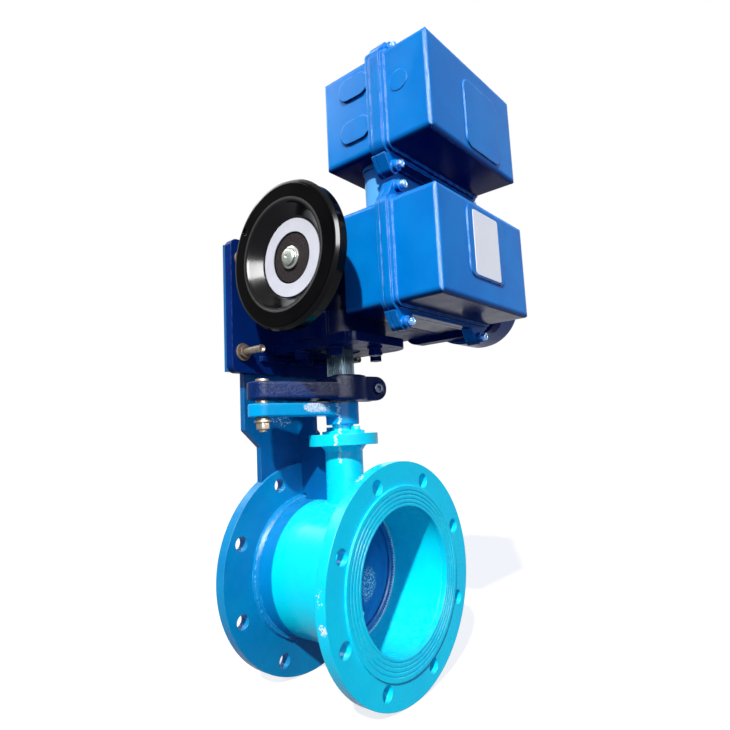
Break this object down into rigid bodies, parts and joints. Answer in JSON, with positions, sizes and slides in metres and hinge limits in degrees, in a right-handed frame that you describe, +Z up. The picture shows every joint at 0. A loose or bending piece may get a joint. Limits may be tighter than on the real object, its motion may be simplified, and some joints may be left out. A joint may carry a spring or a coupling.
{
  "type": "motorised damper valve",
  "caption": "Double-flanged butterfly damper with clamp-arm linkage, bracket, worm drive, motor, hand wheel and stacked control boxes.",
  "frame": {"origin": "centre of the inlet flange's raised face, on the pipe axis", "axes": "+X along the pipe towards the outlet flange, +Z up along the stem towards the drive, -Y towards the hand wheel"},
  "size_m": [0.3758, 0.4862, 0.951],
  "materials": {
    "valve_blue": "gloss sky-blue enamel",
    "bore_blue": "dull blue enamel, dusty",
    "bare_steel": "zinc plated",
    "bronze": "turned bronze",
    "packing": "graphite packing",
    "rubber": "matt",
    "arm_navy": "rough casting, navy paint",
    "gear_navy": "navy enamel",
    "screw_dark": "paint over steel",
    "spline_steel": "oiled steel",
    "machined": "turned",
    "motor_blue": "dark blue enamel",
    "box_blue": "gloss azure enamel on cast metal",
    "wheel_black": "polished thermoset",
    "ring_white": "plain white",
    "label_white": "bare white plate"
  },
  "bodies": {
    "frame": {"rear_flange": "valve_blue", "front_flange": "valve_blue", "body_pipe": "valve_blue", "flange_welds": "valve_blue", "seat_ring": "bore_blue", "seat_welds": "bore_blue", "upper_bush": "bronze", "lower_bush": "bronze", "lower_boss": "valve_blue", "lower_plug": "bare_steel", "neck_tube": "valve_blue", "neck_flange": "valve_blue", "packing_rings": "packing", "gland": "valve_blue", "gland_bolts": "valve_blue", "bracket_plate": "valve_blue", "bracket_rib": "valve_blue", "foot_plate": "gear_navy", "foot_bolts": "bare_steel", "foot_washers": "bare_steel", "foot_nuts": "bare_steel", "gear_housing": "gear_navy", "housing_lid": "gear_navy", "lid_screws": "bare_steel", "bottom_cover": "gear_navy", "cover_bolts": "gear_navy", "shaft_seal": "rubber", "shaft_bearings": "machined", "worm_bearings": "machined", "gear_case": "gear_navy", "motor_shell": "motor_blue", "motor_screws": "bare_steel", "lower_box_base": "box_blue", "lower_box_gasket": "rubber", "lower_box_cover": "box_blue", "upper_box_base": "box_blue", "upper_box_gasket": "rubber", "upper_box_cover": "box_blue", "box_screws": "bare_steel", "label_plate": "label_white", "box_neck": "box_blue"},
    "valve_train": {"disc": "bore_blue", "disc_pins": "bare_steel", "stem": "bare_steel", "valve_arm": "valve_blue", "arm_key": "bare_steel", "crank_arm": "arm_navy", "clamp_screw": "screw_dark", "link_bolt": "bare_steel", "link_washers": "bare_steel", "link_nut": "bare_steel", "output_shaft": "spline_steel", "wheel_key": "bare_steel", "worm_wheel": "bronze"},
    "hand_drive": {"worm_shaft": "machined", "hand_wheel": "wheel_black", "wheel_face_ring": "ring_white", "wheel_nut": "bare_steel", "drive_gear": "machined"},
    "motor_drive": {"motor_rotor": "machined"}
  },
  "joints": [
    {"name": "valve_turn", "type": "hinge", "parent": "frame", "child": "valve_train", "pos_m": [0.115, 0, 0], "axis": [0, 0, 1], "range_deg": [0, 90]},
    {"name": "hand_turn", "type": "hinge", "parent": "frame", "child": "hand_drive", "pos_m": [0.167, 0, 0.4664], "axis": [0, -1, 0], "range_deg": [0, 4680]},
    {"name": "motor_turn", "type": "hinge", "parent": "frame", "child": "motor_drive", "pos_m": [0.223, 0, 0.446], "axis": [0, 1, 0], "range_deg": [0, 14040]}
  ],
  "couplings": [
    {"joint": "hand_turn", "follows": "valve_turn", "ratio": 52},
    {"joint": "motor_turn", "follows": "valve_turn", "ratio": 156}
  ]
}
